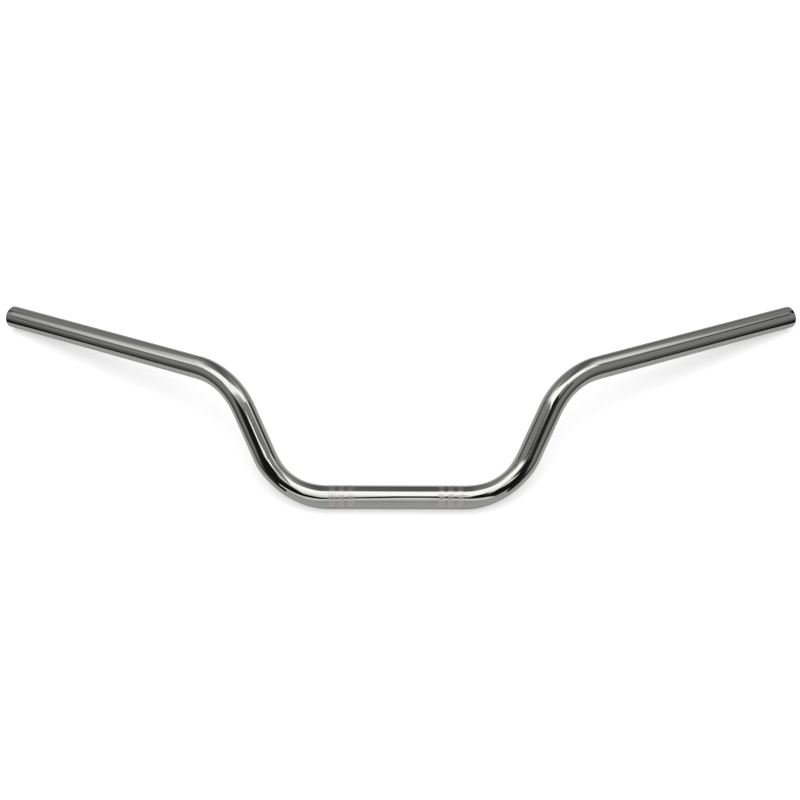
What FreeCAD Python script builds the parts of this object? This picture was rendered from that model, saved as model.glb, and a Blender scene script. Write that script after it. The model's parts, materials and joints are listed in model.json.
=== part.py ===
# Motorcycle handlebar: one length of steel tube, bent twice on each side of its clamped middle.
# Millimetres and degrees. The origin is the middle of the clamped length, X runs along that
# length, Y from it towards the ends of the grips, and Z is up. The bar lies as it comes to rest
# on a table, on its clamped length and on its two ends, with the upper bends standing clear.

import FreeCAD, Part
import math
import os
import Sketcher

Vector = FreeCAD.Vector

# Driving dimensions: name, value, what it measures
SIZES = (
    ("tube_diameter", 22.2, "outside of the tube"),
    ("tube_wall", 2.1, "thickness of the tube"),
    ("clamp_straight", 127.0, "straight length between the two lower bends"),
    ("lower_bend_radius", 67.0, "lower bend, radius of the centreline"),
    ("lower_bend_angle", 65.0, "lower bend, turn of the centreline"),
    ("lower_flattening", 1.9, "lower bend, width lost across the bend"),
    ("riser_straight", 48.5, "straight length between a lower and an upper bend"),
    ("bend_plane_turn", 28.5, "turn about the riser from the lower bend's plane to the upper's"),
    ("upper_bend_radius", 79.0, "upper bend, radius of the centreline"),
    ("upper_bend_angle", 49.5, "upper bend, turn of the centreline"),
    ("upper_flattening", 0.7, "upper bend, width lost across the bend"),
    ("grip_straight", 242.0, "straight length from an upper bend to the end"),
    ("end_rounding", 0.8, "rounding of the end's outer edge"),
    ("bore_rounding", 0.4, "rounding of the end's inner edge"),
    ("knurl_bands", 3, "knurled bands under each clamp"),
    ("knurl_width", 6.35, "width of a knurled band"),
    ("knurl_gap", 2.4, "plain tube between two bands"),
    ("knurl_rise", 0.08, "height of a knurled band above the tube"),
    ("clamp_spacing", 101.6, "between the middles of the two groups of bands"),
)

# Share of the flattening that a bend has at each quarter of its turn: it builds up slowly
# from the clamp's side, where bending starts, and ends short where the die lets go
FLATTENED_QUARTERS = ((0.25, 0.45), (0.5, 0.95), (0.75, 0.85))

doc = FreeCAD.newDocument("handlebar")
sizes = doc.addObject("Spreadsheet::Sheet", "sizes")
for row, (name, value, meaning) in enumerate(SIZES, start=1):
    sizes.set(f"A{row}", name)
    sizes.set(f"B{row}", str(value))
    sizes.set(f"C{row}", meaning)
    sizes.setAlias(f"B{row}", name)
doc.recompute()

bar = doc.addObject("PartDesign::Body", "bar")
bar.Label = "handlebar_tube"
origin = {feature.Role: feature for feature in bar.Origin.OriginFeatures}

# Stations along the centreline. A station's Z points along the tube towards the end and its X
# to the inside of the next bend; the first one stands on the YZ plane, in the clamp's middle.


def fed(length):
    """The step along a straight length of tube."""
    return f"placement(vector(0; 0; {length}); rotation(vector(0; 0; 1); 0))"


def bent(radius, angle):
    """The step round a bend."""
    return (
        f"placement(vector({radius} * (1 - cos({angle})); 0; {radius} * sin({angle})); "
        f"rotation(vector(0; 1; 0); {angle}))"
    )


def rolled(angle):
    """The turn about the tube that sets the plane of the next bend."""
    return f"placement(vector(0; 0; 0); rotation(vector(0; 0; 1); {angle}))"


lower_turn = "sizes.lower_bend_angle * 1deg"
upper_turn = "sizes.upper_bend_angle * 1deg"
plane_turn = "180deg + sizes.bend_plane_turn * 1deg"

clamp_middle = fed("0")
lower_start = fed("sizes.clamp_straight / 2")
lower_end = f"{lower_start} * {bent('sizes.lower_bend_radius', lower_turn)}"
riser_end = f"{lower_end} * {fed('sizes.riser_straight')}"
upper_start = f"{riser_end} * {rolled(plane_turn)}"
upper_end = f"{upper_start} * {bent('sizes.upper_bend_radius', upper_turn)}"
grip_end = f"{upper_end} * {fed('sizes.grip_straight')}"

# Sketches that the tube is made from


def sketch_at(name, station, plane="YZ_Plane"):
    sketch = bar.newObject("Sketcher::SketchObject", name)
    sketch.AttachmentSupport = [(origin[plane], "")]
    sketch.MapMode = "FlatFace"
    sketch.setExpression("AttachmentOffset", station)
    return sketch


def bind(sketch, constraint, size):
    """Add a dimension to a sketch and tie it to the sheet."""
    index = sketch.addConstraint(constraint)
    sketch.setExpression(f"Constraints[{index}]", size)


def round_section(name, station):
    """The round tube, outside and bore, square to the centreline."""
    sketch = sketch_at(name, station)
    bore = sizes.tube_diameter - 2 * sizes.tube_wall
    rings = (
        (sizes.tube_diameter, "sizes.tube_diameter"),
        (bore, "sizes.tube_diameter - 2 * sizes.tube_wall"),
    )
    for diameter, size in rings:
        circle = Part.Circle(Vector(), Vector(0, 0, 1), diameter / 2)
        circle.AngleXU = math.pi / 2  # starts where an oval starts, so that the skins don't twist
        ring = sketch.addGeometry(circle)
        sketch.addConstraint(Sketcher.Constraint("Coincident", ring, 3, -1, 1))
        bind(sketch, Sketcher.Constraint("Diameter", ring, diameter), size)
    return sketch


def oval_section(name, station, flattening):
    """The tube flattened across a bend and spread square to it, with its girth kept."""
    sketch = sketch_at(name, station)
    across = f"(sizes.tube_diameter - {flattening})"
    spread = f"sqrt(2 * sizes.tube_diameter ^ 2 - {across} ^ 2)"
    for inset in ("0", "2 * sizes.tube_wall"):
        long_end = Vector(0, 12, 0)  # first guesses, which the dimensions replace
        short_end = Vector(-10, 0, 0)
        oval = sketch.addGeometry(Part.Ellipse(long_end, short_end, Vector()))
        sketch.exposeInternalGeometry(oval)
        long_axis = oval + 1
        short_axis = oval + 2
        sketch.addConstraint(Sketcher.Constraint("Coincident", oval, 3, -1, 1))
        sketch.addConstraint(Sketcher.Constraint("Vertical", long_axis))
        bind(sketch, Sketcher.Constraint("Distance", long_axis, 24), f"{spread} - {inset}")
        bind(sketch, Sketcher.Constraint("Distance", short_axis, 20), f"{across} - {inset}")
    return sketch


def bend_centreline(name, station, radius, angle):
    """The arc that a bend follows, in the plane of the station's Z and X."""
    onto_bend_plane = "placement(vector(0; 0; 0); rotation(vector(1; 1; 1); 240))"
    sketch = sketch_at(name, f"{station} * {onto_bend_plane}")
    circle = Part.Circle(Vector(0, 60, 0), Vector(0, 0, 1), 60)  # a first guess again
    arc = sketch.addGeometry(Part.ArcOfCircle(circle, -math.pi / 2, 0))
    sketch.addConstraint(Sketcher.Constraint("Coincident", arc, 1, -1, 1))
    sketch.addConstraint(Sketcher.Constraint("PointOnObject", arc, 3, -2))
    bind(sketch, Sketcher.Constraint("Radius", arc, 60), radius)
    bind(sketch, Sketcher.Constraint("Angle", arc, math.pi / 2), angle)
    return sketch


# The right half of the tube, from the middle of the clamp to the end


def straight(name, station, length):
    section = round_section(f"{name}_section", station)
    pad = bar.newObject("PartDesign::Pad", name)
    pad.Profile = section
    pad.setExpression("Length", length)
    doc.recompute()
    return pad


def bend(name, station, radius, angle, flattening):
    centreline = bend_centreline(f"{name}_centreline", station, radius, angle)
    start = round_section(f"{name}_start", station)
    sections = []
    for part_of_turn, share in FLATTENED_QUARTERS:
        here = f"{station} * {bent(radius, f'{part_of_turn} * {angle}')}"
        sections.append(oval_section(f"{name}_oval", here, f"{share} * {flattening}"))
    sections.append(round_section(f"{name}_end", f"{station} * {bent(radius, angle)}"))
    doc.recompute()
    pipe = bar.newObject("PartDesign::AdditivePipe", name)
    pipe.Profile = (start, [""])
    pipe.Spine = (centreline, ["Edge1"])
    pipe.Transformation = "Multisection"
    pipe.Sections = [(section, [""]) for section in sections]
    doc.recompute()
    return pipe


straight("clamp_half", clamp_middle, "sizes.clamp_straight / 2")
bend("lower_bend", lower_start, "sizes.lower_bend_radius", lower_turn, "sizes.lower_flattening")
straight("riser", lower_end, "sizes.riser_straight")
bend("upper_bend", upper_start, "sizes.upper_bend_radius", upper_turn, "sizes.upper_flattening")
grip = straight("grip", upper_end, "sizes.grip_straight")

# The sawn end has both edges broken, so that a grip or an end plug slides on
end_plane = bar.newObject("PartDesign::Plane", "end_plane")
end_plane.AttachmentSupport = [(origin["YZ_Plane"], "")]
end_plane.MapMode = "FlatFace"
end_plane.setExpression("AttachmentOffset", grip_end)
doc.recompute()


def end_edge(feature, radius):
    """The name of the circle of that radius round the end of the grip."""
    for number, edge in enumerate(feature.Shape.Edges, start=1):
        circle = edge.Curve
        if not isinstance(circle, Part.Circle):
            continue
        at_end = circle.Center.distanceToPoint(end_plane.Placement.Base) < 0.01
        if at_end and abs(circle.Radius - radius) < 0.01:
            return f"Edge{number}"
    raise ValueError(f"no edge of radius {radius} at the end of the grip")


def round_edge(name, feature, radius, size):
    fillet = bar.newObject("PartDesign::Fillet", name)
    fillet.Base = (feature, [end_edge(feature, radius)])
    fillet.setExpression("Radius", size)
    doc.recompute()
    return fillet


outer_radius = sizes.tube_diameter / 2
bore_radius = outer_radius - sizes.tube_wall
outer_rounding = round_edge("outer_rounding", grip, outer_radius, "sizes.end_rounding")
round_edge("inner_rounding", outer_rounding, bore_radius, "sizes.bore_rounding")

# The knurled bands that stop the bar from turning in its clamp: rolling the knurl raises each
# one a little above the tube
band_section = sketch_at("band_section", clamp_middle, "XY_Plane")
group_width = "(sizes.knurl_bands * sizes.knurl_width + (sizes.knurl_bands - 1) * sizes.knurl_gap)"
corners = ((40, 10), (46, 10), (46, 12), (40, 12))  # a first guess, which the dimensions replace
for start, finish in zip(corners, corners[1:] + corners[:1]):
    band_section.addGeometry(Part.LineSegment(Vector(*start, 0), Vector(*finish, 0)))
inside, far_side, outside, near_side = range(4)
for line in range(4):
    band_section.addConstraint(Sketcher.Constraint("Coincident", line, 2, (line + 1) % 4, 1))
for line in (inside, outside):
    band_section.addConstraint(Sketcher.Constraint("Horizontal", line))
for line in (near_side, far_side):
    band_section.addConstraint(Sketcher.Constraint("Vertical", line))
bind(
    band_section,
    Sketcher.Constraint("DistanceX", -1, 1, inside, 1, 40),
    f"(sizes.clamp_spacing - {group_width}) / 2",
)
bind(
    band_section,
    Sketcher.Constraint("DistanceY", -1, 1, inside, 1, 10),
    "(sizes.tube_diameter - sizes.tube_wall) / 2",
)
bind(band_section, Sketcher.Constraint("DistanceX", inside, 1, inside, 2, 6), "sizes.knurl_width")
bind(
    band_section,
    Sketcher.Constraint("DistanceY", far_side, 1, far_side, 2, 2),
    "sizes.tube_wall / 2 + sizes.knurl_rise",
)
doc.recompute()

band = bar.newObject("PartDesign::Revolution", "band")
band.Profile = band_section
band.ReferenceAxis = (origin["X_Axis"], [""])
band.Angle = 360
doc.recompute()

bands = bar.newObject("PartDesign::LinearPattern", "bands")
bands.Originals = [band]
bands.Direction = (origin["X_Axis"], [""])
bands.setExpression("Length", "(sizes.knurl_bands - 1) * (sizes.knurl_width + sizes.knurl_gap)")
bands.setExpression("Occurrences", "sizes.knurl_bands")
bar.Tip = bands
doc.recompute()

both_sides = bar.newObject("PartDesign::Mirrored", "both_sides")
both_sides.TransformMode = "Whole shape"
both_sides.MirrorPlane = (origin["YZ_Plane"], [""])
bar.Tip = both_sides

# How the bar comes to rest: turned about the clamp until the rims of both ends touch the table.
# The lean first brings the end's centre level with the clamp's. The rim of the sloping end then
# hangs less far below its centre than the knurled bands do, so the bar settles a little more.
grip_start = "grip_section.AttachmentOffset.Base"
tip = "end_plane.AttachmentOffset.Base"
lean = f"atan2(-{tip}.y; {tip}.x)"
knee_height = f"({grip_start}.x * sin({lean}) + {grip_start}.y * cos({lean}))"
grip_slope = f"asin({knee_height} / (sizes.grip_straight * 1mm))"
rim_short = f"(sizes.tube_diameter / 2 * (1 - cos({grip_slope})) + sizes.knurl_rise) * 1mm"
settling = f"asin({rim_short} / hypot({tip}.x; {tip}.y))"
bar.Placement = FreeCAD.Placement(Vector(), FreeCAD.Rotation(Vector(1, 0, 0), 1))
bar.setExpression("Placement.Rotation.Angle", f"{lean} - {settling}")
doc.recompute()

for thing in doc.Objects:
    if "Invalid" in thing.State or "Error" in thing.State:
        raise RuntimeError(f"{thing.Label} failed: {thing.State}")
if bar.Shape.isNull() or not bar.Shape.isValid() or len(bar.Shape.Solids) != 1:
    raise RuntimeError("the tube is not one valid solid")

os.makedirs("parts", exist_ok=True)
bar.Shape.exportStep(f"parts/{bar.Label}.step")
lean_found = math.degrees(bar.Placement.Rotation.Angle)
lowest = bar.Shape.optimalBoundingBox(False).ZMin
print(f"tube {bar.Shape.Volume:.0f} mm3, lean {lean_found:.3f} degrees, lowest {lowest:.3f} mm")
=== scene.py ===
# Motorcycle handlebar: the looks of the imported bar. Metres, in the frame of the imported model: the
# origin is the middle of the clamped length, X runs along it, Y towards the grips' ends, Z up.

import json
import math
import bpy
from mathutils import Matrix, Vector


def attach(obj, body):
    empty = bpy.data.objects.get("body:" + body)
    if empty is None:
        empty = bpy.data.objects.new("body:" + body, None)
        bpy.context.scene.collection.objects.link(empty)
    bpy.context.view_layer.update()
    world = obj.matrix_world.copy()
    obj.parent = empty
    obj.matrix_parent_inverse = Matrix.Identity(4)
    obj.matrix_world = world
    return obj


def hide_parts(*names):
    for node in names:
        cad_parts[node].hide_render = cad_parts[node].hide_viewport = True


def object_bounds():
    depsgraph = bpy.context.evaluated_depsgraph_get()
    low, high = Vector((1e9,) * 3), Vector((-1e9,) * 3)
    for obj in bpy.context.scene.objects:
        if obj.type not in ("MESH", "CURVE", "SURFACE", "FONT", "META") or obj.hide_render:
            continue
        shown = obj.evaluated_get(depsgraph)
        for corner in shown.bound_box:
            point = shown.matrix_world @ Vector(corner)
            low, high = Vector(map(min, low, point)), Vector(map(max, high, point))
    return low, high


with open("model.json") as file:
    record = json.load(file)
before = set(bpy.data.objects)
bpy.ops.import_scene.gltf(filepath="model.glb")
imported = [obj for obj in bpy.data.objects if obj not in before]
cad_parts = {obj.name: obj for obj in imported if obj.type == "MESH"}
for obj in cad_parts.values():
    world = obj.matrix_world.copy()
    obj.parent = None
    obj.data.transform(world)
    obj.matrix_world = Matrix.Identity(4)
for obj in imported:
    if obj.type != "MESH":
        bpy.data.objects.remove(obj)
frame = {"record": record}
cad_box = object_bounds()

# The tube: one length of seamless steel tube, bent cold round a die twice on each side of the
# clamped middle, then polished and chrome plated. Bending flattens the round section a little,
# and both edges of the sawn ends are broken, so that grips and end plugs slide on.

MM = 0.001
mounts = {mount["name"]: mount for mount in frame["record"]["mounts"]}
tube_radius = mounts["right_grip"]["dims"]["r_mm"] * MM
bore_radius = mounts["right_end"]["dims"]["r_mm"] * MM
clamp_half = mounts["clamp_length"]["dims"]["length_mm"] * MM / 2
tube_wall = tube_radius - bore_radius
lower_bend_radius = 67 * MM
lower_bend_turn = math.radians(65)
lower_flattening = 1.9 * MM
riser_length = 48.5 * MM
bend_plane_turn = math.radians(180 + 28.5)  # the upper bend goes the other way, in a plane of its own
upper_bend_radius = 79 * MM
upper_bend_turn = math.radians(49.5)
upper_flattening = 0.7 * MM
flattening_rise = 0.52  # the first share of a bend, in which the section flattens
flattening_fall = 0.4  # the last share of a bend, in which it comes round again
grip_length = 242 * MM
end_rounding = 0.8 * MM
bore_rounding = 0.4 * MM
rounding_steps = 8
bend_step = 1.1 * MM
straight_step = 8 * MM
tube_sides = 96

# The knurl is rolled into the tube, so the skin is sunk to its root under each band
knurl_width = 6.35 * MM
knurl_gap = 2.4 * MM
clamp_spacing = 101.6 * MM
knurl_root = 0.04 * MM
knurl_rise = 0.08 * MM
band_edge = 0.04 * MM
band_middles = [clamp_spacing / 2 + side * (knurl_width + knurl_gap) for side in (-1, 0, 1)]


def eased(share):
    """Rises smoothly from 0 to 1 as share does."""
    share = min(max(share, 0), 1)
    return share**3 * (10 - 15 * share + 6 * share**2)


class Walk:
    """Walks along the centreline as the tube is fed and bent, and notes a station at each stop.
    The place's Z points along the tube and its X to the inside of the next bend."""

    def __init__(self):
        self.place = Matrix(((0, 0, 1, 0), (1, 0, 0, 0), (0, 1, 0, 0), (0, 0, 0, 1)))
        self.roll = 0
        self.along = 0
        self.stations = []

    def note(self, step, along, flattening, sunk):
        station = {"place": self.place @ step, "roll": self.roll, "along": self.along + along}
        station["flattening"] = flattening
        station["sunk"] = sunk
        self.stations.append(station)

    def feed(self, length, stops):
        for stop, sunk in stops:
            self.note(Matrix.Translation((0, 0, stop)), stop, 0, sunk)
        self.place = self.place @ Matrix.Translation((0, 0, length))
        self.along += length

    def bend(self, radius, turn, flattening):
        length = radius * turn
        count = round(length / bend_step)
        for number in range(1, count + 1):
            share = number / count
            angle = share * turn
            out = Matrix.Translation((radius * (1 - math.cos(angle)), 0, radius * math.sin(angle)))
            step = out @ Matrix.Rotation(angle, 4, "Y")
            # The section flattens slowly from the clamp's side and most just past the middle
            flattened = eased(share / flattening_rise) * eased((1 - share) / flattening_fall)
            self.note(step, share * length, flattened * flattening, 0)
        self.place = self.place @ step
        self.along += length

    def turn_plane(self, angle):
        self.place = self.place @ Matrix.Rotation(angle, 4, "Z")
        self.roll = angle


def even_stops(length):
    """Stops at even steps along a straight length, where nothing is sunk."""
    count = math.ceil(length / straight_step)
    return [(length * number / count, 0) for number in range(1, count + 1)]


clamp_stops = [(0, 0)]
for band_middle in band_middles:
    near = band_middle - knurl_width / 2
    far = band_middle + knurl_width / 2
    clamp_stops += [(near - band_edge, 0), (near, 0)]
    clamp_stops += [(near, knurl_root), (near + band_edge, knurl_root)]
    clamp_stops += [(far - band_edge, knurl_root), (far, knurl_root)]
    clamp_stops += [(far, 0), (far + band_edge, 0)]
clamp_stops.append((clamp_half, 0))

# The last stop of the grip is left to the rings of the end's edges
walk = Walk()
walk.feed(clamp_half, clamp_stops)
walk.bend(lower_bend_radius, lower_bend_turn, lower_flattening)
walk.feed(riser_length, even_stops(riser_length))
walk.turn_plane(bend_plane_turn)
walk.bend(upper_bend_radius, upper_bend_turn, upper_flattening)
walk.feed(grip_length, even_stops(grip_length)[:-1])

# The bar leans about the clamp until its ends rest on the table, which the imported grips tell
packed_axis = Vector(mounts["right_grip"]["axis"])
own_axis = walk.place.to_3x3().col[2]
lean = math.atan2(packed_axis.z, packed_axis.y) - math.atan2(own_axis.z, own_axis.y)
settled = Matrix.Rotation(lean, 3, "X")


def ring(station, inset, plated):
    """A ring of the skin: its centre, the two half-axes that its points swing between, how far along
    the tube it lies and how fully it is plated."""
    turned = station["place"].to_3x3()
    # What the section loses across the bend it gains beside it, so that its girth stays about the same
    across = tube_radius - station["flattening"] / 2
    spread = math.sqrt(2 * tube_radius**2 - across**2)
    inside = turned.col[0] * (across - inset)
    beside = turned.col[1] * (spread - inset)
    roll = station["roll"]
    return {
        "centre": settled @ station["place"].translation,
        "first": settled @ (inside * math.cos(roll) - beside * math.sin(roll)),
        "second": settled @ (inside * math.sin(roll) + beside * math.cos(roll)),
        "along": station["along"],
        "plated": plated,
    }


def end_ring(back, inset):
    """A ring of the end's broken edges, so far back from the sawn face."""
    station = {"place": walk.place @ Matrix.Translation((0, 0, -back)), "roll": walk.roll}
    station["along"] = walk.along - back
    station["flattening"] = 0
    return ring(station, inset, 1)


# The rings of the right half, out over the skin, round the end's edges and back through the bore.
# The plating reaches only a little way into the bore.
plating_depth = 18 * MM
right_half = [ring(station, station["sunk"], 1) for station in walk.stations]
quarter_turns = [number / rounding_steps * math.pi / 2 for number in range(rounding_steps + 1)]
for edge_turn in quarter_turns:
    edge_back = end_rounding * (1 - math.sin(edge_turn))
    edge_inset = end_rounding * (1 - math.cos(edge_turn))
    right_half.append(end_ring(edge_back, edge_inset))
for edge_turn in quarter_turns:
    edge_back = bore_rounding * (1 - math.cos(edge_turn))
    edge_inset = tube_wall - bore_rounding * (1 - math.sin(edge_turn))
    right_half.append(end_ring(edge_back, edge_inset))
for station in reversed(walk.stations):
    if station["sunk"] == 0:
        bore_depth = walk.along - station["along"]
        right_half.append(ring(station, tube_wall, 1 - eased(bore_depth / plating_depth)))

mirror = Matrix.Scale(-1, 3, (1, 0, 0))
left_half = []
for made in reversed(right_half[1:-1]):
    twin = {name: mirror @ made[name] for name in ("centre", "first", "second")}
    twin["along"] = -made["along"]
    twin["plated"] = made["plated"]
    left_half.append(twin)
tube_rings = right_half + left_half

ring_mesh = bpy.data.meshes.new("tube")
ring_mesh.from_pydata([made["centre"] for made in tube_rings], [], [])
for name in ("first", "second"):
    values = ring_mesh.attributes.new(name, "FLOAT_VECTOR", "POINT").data
    values.foreach_set("vector", [part for made in tube_rings for part in made[name]])
for name in ("along", "plated"):
    values = ring_mesh.attributes.new(name, "FLOAT", "POINT").data
    values.foreach_set("value", [made[name] for made in tube_rings])
tube = bpy.data.objects.new("tube", ring_mesh)
bpy.context.scene.collection.objects.link(tube)


def add_node(tree, kind, inputs, **settings):
    """Adds a node with its settings, and a value or a link for each of the inputs that are named."""
    node = tree.nodes.new(kind)
    for name, value in settings.items():
        setattr(node, name, value)
    for name, value in inputs.items():
        if isinstance(value, bpy.types.NodeSocket):
            tree.links.new(value, node.inputs[name])
        else:
            node.inputs[name].default_value = value
    return node


def linear(hex_colour):
    """An sRGB hex colour as the linear RGBA that Blender's sockets take."""
    parts = []
    for start in (1, 3, 5):
        share = int(hex_colour[start : start + 2], 16) / 255
        parts.append(share / 12.92 if share <= 0.04045 else ((share + 0.055) / 1.055) ** 2.4)
    return (*parts, 1)


# Decorative chrome over polished steel: a neutral mirror that takes all its tones from the room, with
# a trace of the polishing belt's lines round the tube and a slight waviness in long reflections.
# In the bore the plating gives way to dull bare steel.
chrome = bpy.data.materials.new("decorative_chrome_plate")
chrome.use_nodes = True
nodes = chrome.node_tree
nodes.nodes.clear()
plated_colour = linear("#ADADA9")
bare_colour = linear("#6B665F")
plated_roughness = (0.03, 0.06)
bare_roughness = 0.48
belt_line = 1.4 * MM  # far finer on a real tube; as coarse as it must be to show
belt_line_depth = 0.002 * MM
haze_patch = 14 * MM
wave = 30 * MM
wave_depth = 0.03 * MM
noise_span = (0.3, 0.7)  # nearly all values of a noise lie between these
place_on_tube = add_node(nodes, "ShaderNodeTexCoord", {})
along_tube = add_node(nodes, "ShaderNodeAttribute", {}, attribute_name="along")
plated = add_node(nodes, "ShaderNodeAttribute", {}, attribute_name="plated")
haze = add_node(
    nodes,
    "ShaderNodeTexNoise",
    {"Vector": place_on_tube.outputs["Object"], "Scale": 1 / haze_patch, "Detail": 3},
)
lines = add_node(
    nodes,
    "ShaderNodeTexNoise",
    {"W": along_tube.outputs["Fac"], "Scale": 1 / belt_line, "Detail": 2},
    noise_dimensions="1D",
)
waves = add_node(
    nodes,
    "ShaderNodeTexNoise",
    {"Vector": place_on_tube.outputs["Object"], "Scale": 1 / wave, "Detail": 0},
)
polish = add_node(
    nodes,
    "ShaderNodeMapRange",
    {
        "Value": haze.outputs["Fac"],
        "From Min": noise_span[0],
        "From Max": noise_span[1],
        "To Min": plated_roughness[0],
        "To Max": plated_roughness[1],
    },
)
roughness = add_node(
    nodes,
    "ShaderNodeMix",
    {"Factor": plated.outputs["Fac"], "A": bare_roughness, "B": polish.outputs["Result"]},
    data_type="FLOAT",
)
# A Mix node takes its two colours at 6 and 7 and gives the mixed one at 2
colour = add_node(
    nodes,
    "ShaderNodeMix",
    {"Factor": plated.outputs["Fac"], 6: bare_colour, 7: plated_colour},
    data_type="RGBA",
)
waviness = add_node(
    nodes,
    "ShaderNodeBump",
    {"Height": waves.outputs["Fac"], "Strength": 1, "Distance": wave_depth},
)
belt_marks = add_node(
    nodes,
    "ShaderNodeBump",
    {
        "Height": lines.outputs["Fac"],
        "Strength": 1,
        "Distance": belt_line_depth,
        "Normal": waviness.outputs["Normal"],
    },
)
shader = add_node(
    nodes,
    "ShaderNodeBsdfPrincipled",
    {
        "Base Color": colour.outputs[2],
        "Metallic": 1,
        "Roughness": roughness.outputs[0],
        "Normal": belt_marks.outputs["Normal"],
    },
)
add_node(nodes, "ShaderNodeOutputMaterial", {"Surface": shader.outputs["BSDF"]})

# The skin is a sheet of rings by sides that is wrapped round them and welded where it meets itself
weld_distance = 0.001 * MM
skin = bpy.data.node_groups.new("tube_skin", "GeometryNodeTree")
skin.interface.new_socket("Geometry", in_out="OUTPUT", socket_type="NodeSocketGeometry")
skin.interface.new_socket("Rings", in_out="INPUT", socket_type="NodeSocketGeometry")
sides_input = skin.interface.new_socket("Sides", in_out="INPUT", socket_type="NodeSocketInt")
finish_input = skin.interface.new_socket("Finish", in_out="INPUT", socket_type="NodeSocketMaterial")
given = add_node(skin, "NodeGroupInput", {})
rings = given.outputs["Rings"]
sides = given.outputs["Sides"]
counted = add_node(skin, "GeometryNodeAttributeDomainSize", {"Geometry": rings})
ring_count = counted.outputs["Point Count"]
rows = add_node(skin, "FunctionNodeIntegerMath", {0: ring_count, 1: 1}, operation="ADD").outputs[0]
columns = add_node(skin, "FunctionNodeIntegerMath", {0: sides, 1: 1}, operation="ADD").outputs[0]
sheet = add_node(skin, "GeometryNodeMeshGrid", {"Vertices X": rows, "Vertices Y": columns}).outputs["Mesh"]
index = add_node(skin, "GeometryNodeInputIndex", {}).outputs[0]
row = add_node(
    skin,
    "FunctionNodeIntegerMath",
    {0: index, 1: columns},
    operation="DIVIDE_FLOOR",
).outputs[0]
own_ring = add_node(
    skin,
    "FunctionNodeIntegerMath",
    {0: row, 1: ring_count},
    operation="MODULO",
).outputs[0]
column = add_node(skin, "FunctionNodeIntegerMath", {0: index, 1: columns}, operation="MODULO").outputs[0]
turn = add_node(skin, "ShaderNodeMath", {0: column, 1: sides}, operation="DIVIDE").outputs[0]
angle = add_node(skin, "ShaderNodeMath", {0: turn, 1: math.tau}, operation="MULTIPLY").outputs[0]
place = add_node(skin, "GeometryNodeInputPosition", {}).outputs[0]
skin_point = add_node(
    skin,
    "GeometryNodeSampleIndex",
    {"Geometry": rings, "Value": place, "Index": own_ring},
    data_type="FLOAT_VECTOR",
).outputs[0]
for name, swing in (("first", "COSINE"), ("second", "SINE")):
    half_axis = add_node(skin, "GeometryNodeInputNamedAttribute", {"Name": name}, data_type="FLOAT_VECTOR")
    own_half_axis = add_node(
        skin,
        "GeometryNodeSampleIndex",
        {"Geometry": rings, "Value": half_axis.outputs["Attribute"], "Index": own_ring},
        data_type="FLOAT_VECTOR",
    ).outputs[0]
    swung_share = add_node(skin, "ShaderNodeMath", {0: angle}, operation=swing).outputs[0]
    swung = add_node(
        skin,
        "ShaderNodeVectorMath",
        {0: own_half_axis, "Scale": swung_share},
        operation="SCALE",
    ).outputs[0]
    skin_point = add_node(
        skin,
        "ShaderNodeVectorMath",
        {0: skin_point, 1: swung},
        operation="ADD",
    ).outputs[0]
wrapped = add_node(skin, "GeometryNodeSetPosition", {"Geometry": sheet, "Position": skin_point}).outputs[0]
for name in ("along", "plated"):
    carried = add_node(skin, "GeometryNodeInputNamedAttribute", {"Name": name}, data_type="FLOAT")
    own_value = add_node(
        skin,
        "GeometryNodeSampleIndex",
        {"Geometry": rings, "Value": carried.outputs["Attribute"], "Index": own_ring},
        data_type="FLOAT",
    ).outputs[0]
    wrapped = add_node(
        skin,
        "GeometryNodeStoreNamedAttribute",
        {"Geometry": wrapped, "Name": name, "Value": own_value},
        data_type="FLOAT",
        domain="POINT",
    ).outputs[0]
welded = add_node(
    skin,
    "GeometryNodeMergeByDistance",
    {"Geometry": wrapped, "Distance": weld_distance},
).outputs[0]
smooth = add_node(skin, "GeometryNodeSetShadeSmooth", {"Geometry": welded}).outputs[0]
real = add_node(skin, "GeometryNodeRealizeInstances", {"Geometry": smooth}).outputs[0]
dressed = add_node(
    skin,
    "GeometryNodeSetMaterial",
    {"Geometry": real, "Material": given.outputs["Finish"]},
).outputs[0]
add_node(skin, "NodeGroupOutput", {"Geometry": dressed})


def made_plain(piece, tree, values):
    """Runs a tree on a piece, with a value for each of its inputs, and keeps the result as its mesh."""
    modifier = piece.modifiers.new(tree.name, "NODES")
    modifier.node_group = tree
    for socket, value in values:
        modifier[socket.identifier] = value
    shown = piece.evaluated_get(bpy.context.evaluated_depsgraph_get())
    plain = bpy.data.meshes.new_from_object(shown)
    piece.modifiers.clear()
    piece.data = plain
    plain.name = piece.name


made_plain(tube, skin, ((sides_input, tube_sides), (finish_input, chrome)))
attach(tube, "root")
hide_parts("handlebar_tube")

# The knurled bands: three under each clamp, where a knurling wheel pressed a diamond pattern into the
# tube before it was plated, so that the bar can't turn in its clamps. The lands between the
# grooves follow the tube's curve and have sharp edges.

knurl_teeth = 56
knurl_rows = 3
land_share = 0.86
sharp_angle = math.radians(15)
band_mesh = bpy.data.meshes.new("knurled_bands")
band_mesh.from_pydata([(side * middle, 0, 0) for side in (-1, 1) for middle in band_middles], [], [])
bands = bpy.data.objects.new("knurled_bands", band_mesh)
bpy.context.scene.collection.objects.link(bands)

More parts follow.
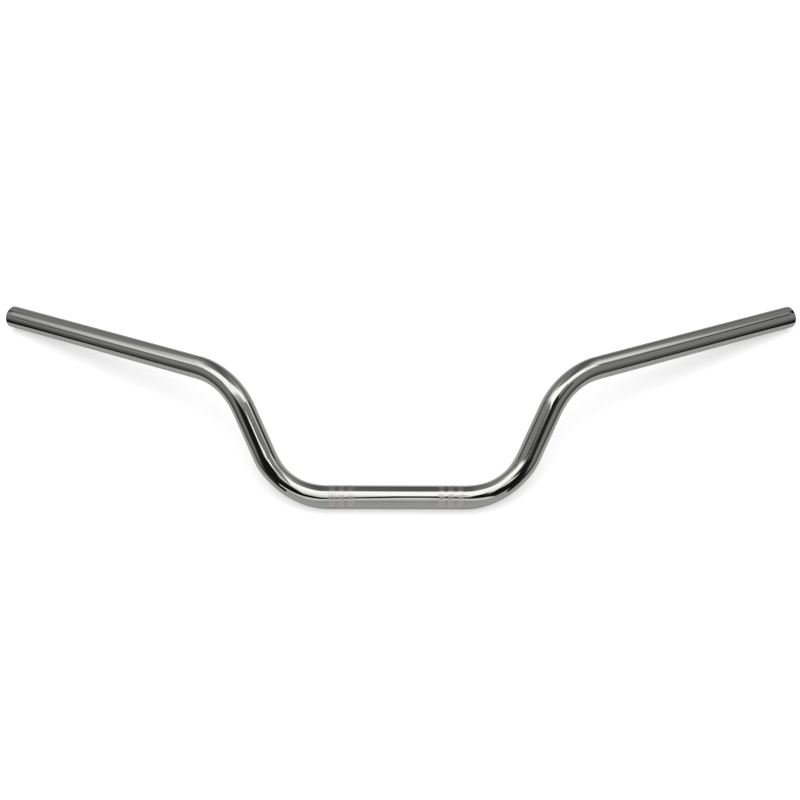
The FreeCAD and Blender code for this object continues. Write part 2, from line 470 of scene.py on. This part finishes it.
# Knurled chrome: the same plating, paler and frosted because each land and groove turns its own bit of
# the room to the eye.
frosted = bpy.data.materials.new("knurled_chrome_plate")
frosted.use_nodes = True
nodes = frosted.node_tree
nodes.nodes.clear()
frosted_colour = linear("#C3BFBD")
frosted_roughness = (0.15, 0.24)
wear_patch = 1.2 * MM
place_on_band = add_node(nodes, "ShaderNodeTexCoord", {})
wear = add_node(
    nodes,
    "ShaderNodeTexNoise",
    {"Vector": place_on_band.outputs["Object"], "Scale": 1 / wear_patch, "Detail": 2},
)
dulled = add_node(
    nodes,
    "ShaderNodeMapRange",
    {
        "Value": wear.outputs["Fac"],
        "From Min": noise_span[0],
        "From Max": noise_span[1],
        "To Min": frosted_roughness[0],
        "To Max": frosted_roughness[1],
    },
)
shader = add_node(
    nodes,
    "ShaderNodeBsdfPrincipled",
    {"Base Color": frosted_colour, "Metallic": 1, "Roughness": dulled.outputs["Result"]},
)
add_node(nodes, "ShaderNodeOutputMaterial", {"Surface": shader.outputs["BSDF"]})

# The feet of the teeth: staggered rows round each band, where every other row is shifted by half a tooth
knurl = bpy.data.node_groups.new("diamond_knurl", "GeometryNodeTree")
knurl.interface.new_socket("Geometry", in_out="OUTPUT", socket_type="NodeSocketGeometry")
knurl.interface.new_socket("Bands", in_out="INPUT", socket_type="NodeSocketGeometry")
teeth_input = knurl.interface.new_socket("Teeth", in_out="INPUT", socket_type="NodeSocketInt")
rows_input = knurl.interface.new_socket("Rows", in_out="INPUT", socket_type="NodeSocketInt")
width_input = knurl.interface.new_socket("Width", in_out="INPUT", socket_type="NodeSocketFloat")
root_input = knurl.interface.new_socket("Root radius", in_out="INPUT", socket_type="NodeSocketFloat")
height_input = knurl.interface.new_socket("Height", in_out="INPUT", socket_type="NodeSocketFloat")
land_input = knurl.interface.new_socket("Land share", in_out="INPUT", socket_type="NodeSocketFloat")
frost_input = knurl.interface.new_socket("Finish", in_out="INPUT", socket_type="NodeSocketMaterial")
given = add_node(knurl, "NodeGroupInput", {})
bands_given = given.outputs["Bands"]
teeth = given.outputs["Teeth"]
full_rows = given.outputs["Rows"]
root_radius = given.outputs["Root radius"]
counted = add_node(knurl, "GeometryNodeAttributeDomainSize", {"Geometry": bands_given})
band_count = counted.outputs["Point Count"]
doubled = add_node(
    knurl,
    "FunctionNodeIntegerMath",
    {0: full_rows, 1: 2},
    operation="MULTIPLY",
).outputs[0]
staggered_rows = add_node(
    knurl,
    "FunctionNodeIntegerMath",
    {0: doubled, 1: 1},
    operation="SUBTRACT",
).outputs[0]
in_band = add_node(
    knurl,
    "FunctionNodeIntegerMath",
    {0: teeth, 1: staggered_rows},
    operation="MULTIPLY",
).outputs[0]
total = add_node(
    knurl,
    "FunctionNodeIntegerMath",
    {0: in_band, 1: band_count},
    operation="MULTIPLY",
).outputs[0]
index = add_node(knurl, "GeometryNodeInputIndex", {}).outputs[0]
own_band = add_node(
    knurl,
    "FunctionNodeIntegerMath",
    {0: index, 1: in_band},
    operation="DIVIDE_FLOOR",
).outputs[0]
rest = add_node(knurl, "FunctionNodeIntegerMath", {0: index, 1: in_band}, operation="MODULO").outputs[0]
row = add_node(knurl, "FunctionNodeIntegerMath", {0: rest, 1: teeth}, operation="DIVIDE_FLOOR").outputs[0]
tooth = add_node(knurl, "FunctionNodeIntegerMath", {0: rest, 1: teeth}, operation="MODULO").outputs[0]
odd_row = add_node(knurl, "FunctionNodeIntegerMath", {0: row, 1: 2}, operation="MODULO").outputs[0]
shifted = add_node(
    knurl,
    "ShaderNodeMath",
    {0: odd_row, 1: 0.5, 2: tooth},
    operation="MULTIPLY_ADD",
).outputs[0]
turn = add_node(knurl, "ShaderNodeMath", {0: shifted, 1: teeth}, operation="DIVIDE").outputs[0]
angle = add_node(knurl, "ShaderNodeMath", {0: turn, 1: math.tau}, operation="MULTIPLY").outputs[0]
cosine = add_node(knurl, "ShaderNodeMath", {0: angle}, operation="COSINE").outputs[0]
sine = add_node(knurl, "ShaderNodeMath", {0: angle}, operation="SINE").outputs[0]
outward = add_node(knurl, "ShaderNodeCombineXYZ", {"Y": cosine, "Z": sine}).outputs[0]
half_row = add_node(
    knurl,
    "ShaderNodeMath",
    {0: given.outputs["Width"], 1: doubled},
    operation="DIVIDE",
).outputs[0]
rows_in = add_node(knurl, "FunctionNodeIntegerMath", {0: row, 1: 1}, operation="ADD").outputs[0]
off_middle = add_node(
    knurl,
    "FunctionNodeIntegerMath",
    {0: rows_in, 1: full_rows},
    operation="SUBTRACT",
).outputs[0]
aside = add_node(
    knurl,
    "ShaderNodeMath",
    {0: off_middle, 1: half_row},
    operation="MULTIPLY",
).outputs[0]
along_clamp = add_node(knurl, "ShaderNodeCombineXYZ", {"X": aside}).outputs[0]
place = add_node(knurl, "GeometryNodeInputPosition", {}).outputs[0]
own_middle = add_node(
    knurl,
    "GeometryNodeSampleIndex",
    {"Geometry": bands_given, "Value": place, "Index": own_band},
    data_type="FLOAT_VECTOR",
).outputs[0]
on_axis = add_node(
    knurl,
    "ShaderNodeVectorMath",
    {0: own_middle, 1: along_clamp},
    operation="ADD",
).outputs[0]
to_root = add_node(
    knurl,
    "ShaderNodeVectorMath",
    {0: outward, "Scale": root_radius},
    operation="SCALE",
).outputs[0]
foot = add_node(knurl, "ShaderNodeVectorMath", {0: on_axis, 1: to_root}, operation="ADD").outputs[0]
feet = add_node(knurl, "GeometryNodePoints", {"Count": total, "Position": foot}).outputs[0]

# One diamond is cut, curved to the tube and given sharp edges, and then set on every foot
diamond = add_node(
    knurl,
    "GeometryNodeMeshCone",
    {"Vertices": 4, "Radius Top": given.outputs["Land share"], "Radius Bottom": 1, "Depth": 1},
).outputs["Mesh"]
halved = add_node(knurl, "GeometryNodeSubdivideMesh", {"Mesh": diamond, "Level": 1}).outputs[0]
own = add_node(knurl, "ShaderNodeSeparateXYZ", {0: place})
half_angle = add_node(knurl, "ShaderNodeMath", {0: math.pi, 1: teeth}, operation="DIVIDE").outputs[0]
swing = add_node(
    knurl,
    "ShaderNodeMath",
    {0: own.outputs["Y"], 1: half_angle},
    operation="MULTIPLY",
).outputs[0]
reach = add_node(
    knurl,
    "ShaderNodeMath",
    {0: own.outputs["Z"], 1: given.outputs["Height"], 2: root_radius},
    operation="MULTIPLY_ADD",
).outputs[0]
swing_sine = add_node(knurl, "ShaderNodeMath", {0: swing}, operation="SINE").outputs[0]
swing_cosine = add_node(knurl, "ShaderNodeMath", {0: swing}, operation="COSINE").outputs[0]
round_tube = add_node(knurl, "ShaderNodeMath", {0: swing_sine, 1: reach}, operation="MULTIPLY").outputs[0]
from_axis = add_node(knurl, "ShaderNodeMath", {0: swing_cosine, 1: reach}, operation="MULTIPLY").outputs[0]
over_foot = add_node(
    knurl,
    "ShaderNodeMath",
    {0: from_axis, 1: root_radius},
    operation="SUBTRACT",
).outputs[0]
lengthwise = add_node(
    knurl,
    "ShaderNodeMath",
    {0: own.outputs["X"], 1: half_row},
    operation="MULTIPLY",
).outputs[0]
on_curve = add_node(
    knurl,
    "ShaderNodeCombineXYZ",
    {"X": lengthwise, "Y": round_tube, "Z": over_foot},
).outputs[0]
curved = add_node(knurl, "GeometryNodeSetPosition", {"Geometry": halved, "Position": on_curve}).outputs[0]
smooth = add_node(knurl, "GeometryNodeSetShadeSmooth", {"Geometry": curved}).outputs[0]
fold = add_node(knurl, "GeometryNodeInputMeshEdgeAngle", {}).outputs[0]
is_sharp = add_node(
    knurl,
    "FunctionNodeCompare",
    {0: fold, 1: sharp_angle},
    operation="GREATER_THAN",
).outputs[0]
crisp = add_node(
    knurl,
    "GeometryNodeSetShadeSmooth",
    {"Geometry": smooth, "Selection": is_sharp, "Shade Smooth": False},
    domain="EDGE",
).outputs[0]
upright = add_node(
    knurl,
    "FunctionNodeAxesToRotation",
    {"Primary Axis": outward, "Secondary Axis": (1, 0, 0)},
    primary_axis="Z",
    secondary_axis="X",
).outputs[0]
rows_of_teeth = add_node(
    knurl,
    "GeometryNodeInstanceOnPoints",
    {"Points": feet, "Instance": crisp, "Rotation": upright},
).outputs[0]
real = add_node(knurl, "GeometryNodeRealizeInstances", {"Geometry": rows_of_teeth}).outputs[0]
dressed = add_node(
    knurl,
    "GeometryNodeSetMaterial",
    {"Geometry": real, "Material": given.outputs["Finish"]},
).outputs[0]
add_node(knurl, "NodeGroupOutput", {"Geometry": dressed})
made_plain(
    bands,
    knurl,
    (
        (teeth_input, knurl_teeth),
        (rows_input, knurl_rows),
        (width_input, knurl_width),
        (root_input, tube_radius - knurl_root),
        (height_input, knurl_root + knurl_rise),
        (land_input, land_share),
        (frost_input, frosted),
    ),
)
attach(bands, "root")

# The table: a plain white sheet, which the bar lies on and throws its soft shadow on. The eye sees it
# lifted, so that it is shaded only close to the bar, and lifted all the way far off, so that no horizon
# shows. The chrome sees a tenth of that lift.

floor_level = cad_box[0].z
floor_half = 12
paper_colour = linear("#E7E7E7")
paper_lift = 0.52
far_lift = 1
lift_start = 2
lift_end = 4
mirrored_lift = 0.1
floor_corners = []
for x_side, y_side in ((-1, -1), (1, -1), (1, 1), (-1, 1)):
    floor_corners.append((x_side * floor_half, y_side * floor_half, floor_level))
floor_mesh = bpy.data.meshes.new("table")
floor_mesh.from_pydata(floor_corners, [], [(0, 1, 2, 3)])
table = bpy.data.objects.new("table", floor_mesh)
bpy.context.scene.collection.objects.link(table)


def seen_rays(tree, mirrored):
    """1 for rays from the camera, so much for those that metal or glass sends on, 0 for all others."""
    path = add_node(tree, "ShaderNodeLightPath", {})
    sent_on = add_node(
        tree,
        "ShaderNodeMath",
        {0: path.outputs["Is Glossy Ray"], 1: path.outputs["Is Transmission Ray"]},
        operation="MAXIMUM",
    ).outputs[0]
    return add_node(
        tree,
        "ShaderNodeMath",
        {0: sent_on, 1: mirrored, 2: path.outputs["Is Camera Ray"]},
        operation="MULTIPLY_ADD",
    ).outputs[0]


# Matt white paper: it gives the shadow an even ground and no gloss
paper = bpy.data.materials.new("white_paper_sweep")
paper.use_nodes = True
nodes = paper.node_tree
nodes.nodes.clear()
place_on_table = add_node(nodes, "ShaderNodeTexCoord", {})
away = add_node(
    nodes,
    "ShaderNodeVectorMath",
    {0: place_on_table.outputs["Object"]},
    operation="LENGTH",
).outputs["Value"]
full_lift = add_node(
    nodes,
    "ShaderNodeMapRange",
    {
        "Value": away,
        "From Min": lift_start,
        "From Max": lift_end,
        "To Min": paper_lift,
        "To Max": far_lift,
    },
).outputs["Result"]
lift = add_node(
    nodes,
    "ShaderNodeMath",
    {0: seen_rays(nodes, mirrored_lift), 1: full_lift},
    operation="MULTIPLY",
).outputs[0]
matt = add_node(nodes, "ShaderNodeBsdfDiffuse", {"Color": paper_colour})
white = add_node(nodes, "ShaderNodeEmission", {"Strength": lift})
shader = add_node(nodes, "ShaderNodeAddShader", {0: matt.outputs[0], 1: white.outputs[0]})
add_node(nodes, "ShaderNodeOutputMaterial", {"Surface": shader.outputs[0]})
floor_mesh.materials.append(paper)

# The studio: one large softbox straight over the bar lights the table. The chrome shows what stands
# round it instead: a dim room with a glowing ceiling, a pale panel under the camera and dark cloth on
# both sides of the sheet.

softbox_size = (4.5, 3.5)
softbox_height = 3
softbox_tone = 1.7
softbox_lamp = bpy.data.lights.new("softbox", "AREA")
softbox_lamp.shape = "RECTANGLE"
softbox_lamp.size, softbox_lamp.size_y = softbox_size
softbox_lamp.energy = softbox_tone * math.pi * softbox_size[0] * softbox_size[1]
softbox = bpy.data.objects.new("softbox", softbox_lamp)
softbox.location = (0, 0, softbox_height)
softbox.visible_glossy = False
bpy.context.scene.collection.objects.link(softbox)

# Studio cloth: an even glow of its own tone at each point, which can fade to clear
glow = bpy.data.materials.new("studio_cloth")
glow.use_nodes = True
glow.cycles.emission_sampling = "NONE"
nodes = glow.node_tree
nodes.nodes.clear()
cloth_tone = add_node(nodes, "ShaderNodeAttribute", {}, attribute_name="tone")
cloth_cover = add_node(nodes, "ShaderNodeAttribute", {}, attribute_name="cover")
bright = add_node(nodes, "ShaderNodeEmission", {"Strength": cloth_tone.outputs["Fac"]})
clear = add_node(nodes, "ShaderNodeBsdfTransparent", {})
shader = add_node(
    nodes,
    "ShaderNodeMixShader",
    {"Fac": cloth_cover.outputs["Fac"], 1: clear.outputs[0], 2: bright.outputs[0]},
)
add_node(nodes, "ShaderNodeOutputMaterial", {"Surface": shader.outputs[0]})


def hang(name, rows):
    """Hangs a cloth where reflections alone show it, from rows of points, each with its tone and cover."""
    across = len(rows[0])
    faces = []
    for row in range(len(rows) - 1):
        for column in range(across - 1):
            corner = row * across + column
            faces.append((corner, corner + 1, corner + across + 1, corner + across))
    knots = [knot for row in rows for knot in row]
    sheet = bpy.data.meshes.new(name)
    sheet.from_pydata([point for point, tone, cover in knots], [], faces)
    tones = sheet.attributes.new("tone", "FLOAT", "POINT").data
    tones.foreach_set("value", [tone for point, tone, cover in knots])
    covers = sheet.attributes.new("cover", "FLOAT", "POINT").data
    covers.foreach_set("value", [cover for point, tone, cover in knots])
    sheet.materials.append(glow)
    cloth = bpy.data.objects.new(name, sheet)
    bpy.context.scene.collection.objects.link(cloth)
    cloth.visible_camera = False
    cloth.visible_diffuse = False
    cloth.visible_shadow = False


def hang_level(name, corners, height, tone):
    """Hangs a level cloth of one tone from two rows of corners."""
    hang(name, [[((x, y, height), tone, 1) for x, y in row] for row in corners])


def within(margin, softness):
    """1 well inside an edge, 0 well outside it, with a soft step between."""
    return min(max(margin / softness + 0.5, 0), 1)


def between(value, pairs):
    """Reads a value off a list of pairs, straight from one pair to the next."""
    for (low, at_low), (high, at_high) in zip(pairs, pairs[1:]):
        if value <= high:
            return at_low + (at_high - at_low) * max(value - low, 0) / (high - low)
    return pairs[-1][1]


# The room, by degrees round from the front, where left is negative, and degrees up: grey walls, black
# beside the camera. In the middle a pale panel rises to a peak, with a bright edge, and a light reaches
# down towards it from above the camera in two legs. Behind the bar a low glow stands on each side.
room_radius = 8
room_foot = -6
room_top = 90
wall_middle = -3
wall_tones = (
    (0, 0.01),
    (58, 0.02),
    (63, 0.4),
    (100, 0.42),
    (120, 0.35),
    (140, 0.4),
    (163, 0.38),
    (175, 0.21),
    (180, 0.2),
)
skirting_tones = ((0, 0.42), (4, 0.48), (12, 0.85), (18, 1))
panel_edge = (
    (-47, -20),
    (-44, 8),
    (-30, 11),
    (-20, 17),
    (-14, 25),
    (-7, 34),
    (-1, 50),
    (1, 50),
    (9, 32),
    (17, 18),
    (25, 2),
    (30, -12),
)
panel_tones = ((0, 1.6), (6, 1.5), (15, 1.15), (25, 0.85), (34, 0.57), (50, 0.6))
panel_softness = 3
peak_half = 7
rim_narrowing = 0.5  # away from the peak the bright edge is narrower
light_edge = (
    (-30, 59),
    (-20, 60),
    (-17, 56),
    (-14, 46),
    (-7, 53),
    (-3, 68),
    (3, 68),
    (8, 53),
    (13, 54),
    (17, 60),
    (27, 53),
    (36, 52),
)
light_top = (
    (-30, 66),
    (-24, 67),
    (-20, 79),
    (-16, 81),
    (-10, 84),
    (-3, 95),
    (3, 95),
    (8, 75),
    (12, 71),
    (17, 69),
    (25, 66),
    (36, 62),
)
light_tones = (
    (-36, 0),
    (-30, 0.5),
    (-20, 0.9),
    (-14, 1.6),
    (-5, 1.5),
    (-2, 2.2),
    (2, 2.2),
    (5, 1.5),
    (17, 1.4),
    (27, 1.7),
    (36, 1),
    (42, 0),
)
light_softness = 5
low_glow_tone = 0.65
low_glow_top = 8
low_glow_top_softness = 8
low_glow_start = 112
low_glow_start_softness = 16
low_glow_end = 150
low_glow_end_softness = 30
room_rows = []
for elevation in range(room_foot, room_top + 1):
    flat = room_radius * math.cos(math.radians(elevation))
    height = room_radius * math.sin(math.radians(elevation))
    room_points = []
    for azimuth in range(-180, 181):
        point = (flat * math.sin(math.radians(azimuth)), -flat * math.cos(math.radians(azimuth)), height)
        round_from_middle = abs(azimuth - wall_middle)
        shade = between(round_from_middle, wall_tones) * between(elevation, skirting_tones)
        under_edge = between(azimuth, panel_edge) - elevation
        rim = under_edge * (1 + rim_narrowing * min(abs(azimuth) / peak_half, 1))
        shade += (between(rim, panel_tones) - shade) * within(under_edge, panel_softness)
        light = between(azimuth, light_tones)
        light *= within(elevation - between(azimuth, light_edge), light_softness)
        light *= within(between(azimuth, light_top) - elevation, light_softness)
        low_glow = within(low_glow_top - elevation, low_glow_top_softness)
        low_glow *= within(round_from_middle - low_glow_start, low_glow_start_softness)
        low_glow *= within(low_glow_end - round_from_middle, low_glow_end_softness)
        shade += (low_glow_tone - shade) * low_glow
        room_points.append((point, max(shade, light), 1))
    room_rows.append(room_points)
hang("room", room_rows)

# The ceiling, measured in its own height: a bright V over the bar that opens away from the camera and
# blurs towards the left, and a glow to each side, sharp in front and fading backwards and outwards
ceiling_height = 3
ceiling_tone = 2.25
ceiling_step = 0.02
ceiling_front = -0.6
ceiling_back = 2
ceiling_half = 2
sharp_edge = 0.04
blur_start = 0.1
blur_reach = 0.4
blur_rate = 0.4
v_front = ((0, -0.37), (0.04, -0.36), (0.08, -0.1), (0.3, 0.1), (0.6, 0.32))
v_back = ((0, 0.4), (0.6, 0.63))
v_back_softness = 0.15
v_half = 0.6
v_side_softness = 0.2
side_start = 0.55
side_start_softness = 0.3
side_front = 0.25
side_skew = 0.15
side_back = ((0.8, 1.5), (1, 0.98), (1.9, 0.9))
side_fading = (
    (-1.8, 0.05),
    (-1.6, 0.25),
    (-1.4, 0.6),
    (-1.1, 0.8),
    (-0.9, 0.9),
    (0.9, 0.85),
    (1.08, 0.55),
    (1.2, 0.25),
    (1.35, 0.05),
)
ceiling_row_count = round((ceiling_back - ceiling_front) / ceiling_step) + 1
ceiling_column_count = round(2 * ceiling_half / ceiling_step) + 1
ceiling_rows = []
for row_number in range(ceiling_row_count):
    y = ceiling_front + ceiling_step * row_number
    ceiling_points = []
    for column_number in range(ceiling_column_count):
        x = -ceiling_half + ceiling_step * column_number
        from_middle = abs(x)
        front_softness = sharp_edge + min(max(-x - blur_start, 0), blur_reach) * blur_rate
        v_cover = within(y - between(from_middle, v_front), front_softness)
        v_cover *= within(between(from_middle, v_back) - y, v_back_softness)
        v_cover *= within(v_half - from_middle, v_side_softness)
        glow_front = side_front + side_skew * x
        glow_back = between(from_middle, side_back)
        side_cover = within(y - glow_front, sharp_edge)
        side_cover *= min(max((glow_back - y) / (glow_back - glow_front), 0), 1)
        side_cover *= within(from_middle - side_start, side_start_softness) * between(x, side_fading)
        point = (x * ceiling_height, y * ceiling_height, ceiling_height)
        ceiling_points.append((point, ceiling_tone, max(v_cover, side_cover)))
    ceiling_rows.append(ceiling_points)
hang("ceiling", ceiling_rows)

# Dark rails in front of the glow, measured in their own height: one on the left, two on the right
rail_height = 0.98 * ceiling_height
left_rail = ((-1.35, -0.06), (-1.35, 0.02)), ((-2.6, -0.32), (-2.6, -0.08))
right_rail = ((1.15, 0.07), (1.11, 0.12)), ((1.55, 0.33), (1.35, 0.55))
front_rail = ((0.5, -0.45), (0.95, -0.58)), ((0.74, -0.15), (1, -0.3))
left_rail_tone = 0.12
right_rail_tone = 0.05
rails = (
    ("left_rail", left_rail, left_rail_tone),
    ("right_rail", right_rail, right_rail_tone),
    ("front_rail", front_rail, right_rail_tone),
)
for name, corners, tone in rails:
    rail_corners = [[(x * rail_height, y * rail_height) for x, y in pair] for pair in corners]
    hang_level(name, rail_corners, rail_height, tone)

# Low over the bar, a grey flag keeps the tip of the V off the right riser. Two white cards widen the
# highlights of the upper bends, and a third closes a gap in the highlight left of the clamped middle.
flag_height = 0.3
flag_tone = 0.28
card_tone = 2.1
tip_flag = ((0.086, -0.045), (0.153, -0.06)), ((0.121, 0.019), (0.188, 0))
left_card = ((-0.43, 0.12), (-0.285, 0.05)), ((-0.33, 0.2), (-0.2, 0.13))
right_card = ((0.43, 0.16), (0.24, 0.088)), ((0.36, 0.2), (0.195, 0.13))
clamp_card = ((-0.1, -0.1), (-0.035, -0.1)), ((-0.092, -0.01), (-0.035, -0.01))
hang_level("tip_flag", tip_flag, flag_height, flag_tone)
for name, corners in (("left_card", left_card), ("right_card", right_card), ("clamp_card", clamp_card)):
    hang_level(name, corners, flag_height, card_tone)

# A grey flag close over the left lower bend carries the riser's grey on down through the highlight,
# narrower and lighter towards the front. Each row has its y, its two ends' x and its tone.
bend_flag_height = 0.06
bend_flag = (
    (0.042, -0.112, -0.082, 0.41),
    (0.018, -0.1115, -0.091, 0.43),
    (0.008, -0.1065, -0.0945, 0.55),
    (-0.008, -0.1025, -0.0995, 0.75),
)
bend_rows = []
for y, left_x, right_x, tone in bend_flag:
    bend_rows.append([((x, y, bend_flag_height), tone, 1) for x in (left_x, right_x)])
hang("bend_flag", bend_rows)

# A card low beside the left upper bend lets the bend's highlight fade into the riser's grey: white at
# its outer end, grey further in and clear at its last edge. Each row has its ends, its tone and its cover.
fading_card_height = 0.1
fading_card = (
    ((-0.194, 0.0855), (-0.165, 0.098), card_tone, 1),
    ((-0.184, 0.0705), (-0.14, 0.093), card_tone, 1),
    ((-0.1795, 0.0625), (-0.132, 0.086), 0.95, 1),
    ((-0.1725, 0.0545), (-0.12, 0.079), 0.6, 1),
    ((-0.158, 0.049), (-0.108, 0.071), 0.45, 1),
    ((-0.143, 0.04), (-0.095, 0.061), 0.45, 0),
)
fading_rows = []
for front_end, back_end, tone, cover in fading_card:
    fading_rows.append([((x, y, fading_card_height), tone, cover) for x, y in (front_end, back_end)])
hang("fading_card", fading_rows)

# An upright grey flag over the left riser takes the glow on the left off the right riser alone
upright_place = -0.15
upright_tone = 0.45
upright_flag = ((0.08, 0.255), (0.08, 0.515)), ((0.25, 0.185), (0.25, 0.445))
upright_rows = [[((upright_place, y, z), upright_tone, 1) for y, z in pair] for pair in upright_flag]
hang("upright_flag", upright_rows)

# A dark doorway behind the bar on each side, which the risers' inner sides show, black on the right
door_heights = (0.5, 1.15)
left_door = ((-1.87, 0.95), (-1.59, 1.41))
right_door = ((1.95, 0.75), (1.59, 1.41))
left_door_tone = 0.13
right_door_tone = 0.02
doors = (("left_doorway", left_door, left_door_tone), ("right_doorway", right_door, right_door_tone))
for name, jambs, tone in doors:
    hang(name, [[((x, y, height), tone, 1) for x, y in jambs] for height in door_heights])

# Cloth on the table: grey before and behind the sheet, and black to both sides of it, paler further out
cloth_gap = 0.5 * MM
cloth_level = floor_level + cloth_gap
front_tone = 0.68
front_ends = ((0.22, -0.03), (5, -6))
front_corners = [[(side * half_width, y) for side in (-1, 1)] for half_width, y in front_ends]
hang_level("front_cloth", front_corners, cloth_level, front_tone)

back_cloth_depth = 8
back_edge = (
    (-6, 3.1, 0.45),
    (-0.4, 0.3, 0.45),
    (-0.1, 0.15, 0.7),
    (0.1, 0.15, 0.7),
    (0.4, 0.3, 0.45),
    (6, 3.1, 0.45),
)
back_rows = []
for behind in (0, back_cloth_depth):
    back_rows.append([((x, y + behind, cloth_level), tone, 1) for x, y, tone in back_edge])
hang("back_cloth", back_rows)

black_level = cloth_level + cloth_gap
black_tones = ((0, 0.02), (0.1, 0.02), (0.22, 0.15), (7, 0.2))
black_edge = (
    (0.6, 0.45),
    (0.43, 0.21),
    (0.33, 0.06),
    (0.3, 0),
    (0.22, -0.02),
    (0.125, -0.021),
    (0.185, -0.1),
    (3.4, -3.8),
)
for name, side in (("left_cloth", -1), ("right_cloth", 1)):
    black_rows = []
    for x, y in black_edge:
        black_rows.append([((side * (x + out), y, black_level), tone, 1) for out, tone in black_tones])
    hang(name, black_rows)

# The world fills the shadows a little, and is white to the eye and to a reflection that gets past the room
world_fill = 0.25
world = bpy.data.worlds.new("white_surround")
bpy.context.scene.world = world
world.use_nodes = True
nodes = world.node_tree
nodes.nodes.clear()
strength = add_node(
    nodes,
    "ShaderNodeMath",
    {0: seen_rays(nodes, 1), 1: 1 - world_fill, 2: world_fill},
    operation="MULTIPLY_ADD",
).outputs[0]
background = add_node(nodes, "ShaderNodeBackground", {"Color": (1, 1, 1, 1), "Strength": strength})
add_node(nodes, "ShaderNodeOutputWorld", {"Surface": background.outputs["Background"]})

# The camera: in front of the bar and well above it, a little to its right. Its place, turn and lens were
# fitted to the bar's outline in the photograph.
photo_side = 800
focal_pixels = 1235.06
camera_place = Vector((0.02133, -0.63249, 0.96838))
yaw = -0.0257
pitch = 0.9135
roll = -0.0186
ahead = Vector((math.sin(yaw) * math.cos(pitch), math.cos(yaw) * math.cos(pitch), -math.sin(pitch)))
level = Vector((math.cos(yaw), -math.sin(yaw), 0))
upward = level.cross(ahead)
camera_right = level * math.cos(roll) + upward * math.sin(roll)
camera_up = upward * math.cos(roll) - level * math.sin(roll)
camera_turn = Matrix((camera_right, camera_up, -ahead)).transposed().to_4x4()
lens = bpy.data.cameras.new("camera")
lens.lens = focal_pixels * lens.sensor_width / photo_side
camera = bpy.data.objects.new("camera", lens)
camera.matrix_world = Matrix.Translation(camera_place) @ camera_turn
bpy.context.scene.collection.objects.link(camera)
bpy.context.scene.camera = camera
bpy.context.scene.view_settings.view_transform = "Standard"
